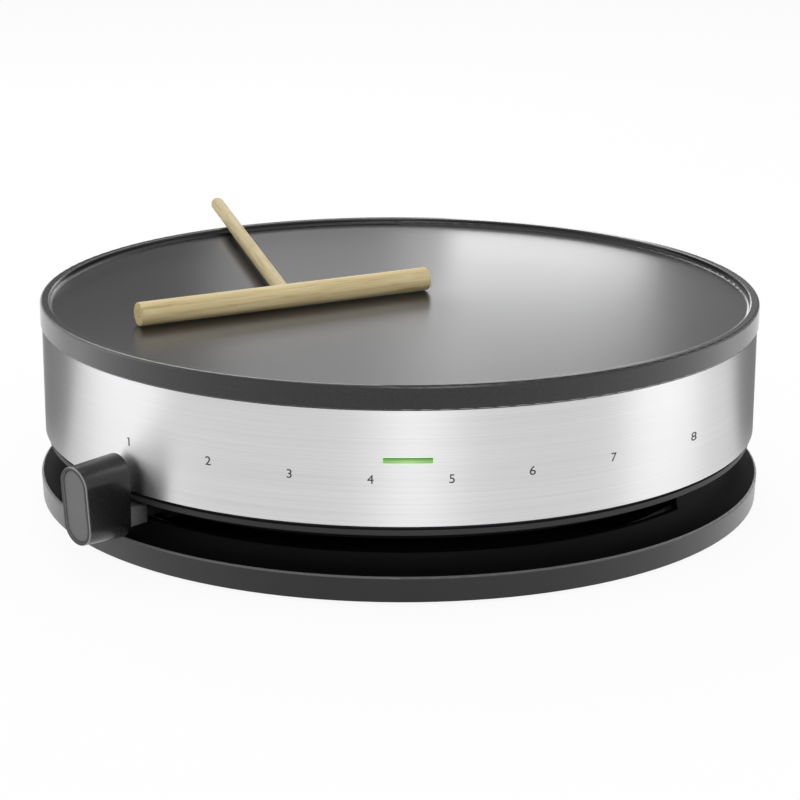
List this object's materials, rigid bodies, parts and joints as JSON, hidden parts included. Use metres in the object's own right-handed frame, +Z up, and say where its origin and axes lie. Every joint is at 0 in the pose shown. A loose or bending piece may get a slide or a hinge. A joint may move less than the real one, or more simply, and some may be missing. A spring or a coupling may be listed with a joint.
{
  "type": "electric crepe maker",
  "caption": "Round countertop crepe maker: lipped cast plate on a steel-banded drum with a recessed waist, slide lever, indicator light and loose wooden batter spreader.",
  "frame": {"origin": "on the drum's axis, in the plane that the four feet stand on", "axes": "+Z up along the drum's axis, -Y towards the front with the indicator, +X to the right"},
  "size_m": [0.3429, 0.3564, 0.1037],
  "materials": {
    "plate": "turned and non-stick coated",
    "band": "brushed along the wrap",
    "housing": "moulded, satin",
    "waist": "moulded, matt black",
    "base": "moulded, satin",
    "cover": "moulded, fine texture",
    "knob": "moulded, satin",
    "inlay": "moulded, fine matt",
    "lens": "polished, translucent",
    "lamp": "clear",
    "holder": "moulded, white",
    "element": "oxidised by heat",
    "ceramic": "steatite, off-white",
    "steel": "zinc plated",
    "brass": "turned",
    "sleeve": "woven glass fibre",
    "rubber": "moulded, matt",
    "wood": "turned beech, bare"
  },
  "bodies": {
    "root": {"cooking_plate": "plate", "heating_element": "element", "element_terminals": "ceramic", "element_clamps": "steel", "clamp_screws": "steel", "heat_shield": "steel", "plate_spacers": "steel", "plate_screws": "steel", "thermostat_bracket": "steel", "thermostat_guide": "brass", "thermostat_stack": "ceramic", "contact_leaves": "brass", "thermal_fuse": "sleeve", "fuse_clip": "steel", "upper_housing": "housing", "steel_band": "band", "indicator_lens": "lens", "lamp_holder": "holder", "indicator_lamp": "lamp", "terminal_block": "ceramic", "block_screws": "brass", "waist_ring": "waist", "cord_gland": "cover", "gland_nut": "cover", "floor_bush": "brass", "base_ring": "base", "bottom_cover": "cover", "base_screws": "steel", "rubber_foot_1": "rubber", "rubber_foot_2": "rubber", "rubber_foot_3": "rubber", "rubber_foot_4": "rubber"},
    "lever": {"spindle": "steel", "spindle_clip": "steel", "hub_washer": "steel", "lever_arm": "waist", "lever_knob": "knob", "knob_inlay": "inlay", "knob_screw": "steel"},
    "spreader": {"spreader_bar": "wood", "spreader_handle": "wood"}
  },
  "joints": [
    {"name": "lever_swing", "type": "hinge", "parent": "root", "child": "lever", "pos_m": [0, 0, 0.0228], "axis": [0, 0, 1], "range_deg": [0, 94]},
    {"name": "spreader_lift", "type": "slide", "parent": "root", "child": "spreader", "axis": [0, 0, 1], "range_m": [0, 0.06]}
  ]
}
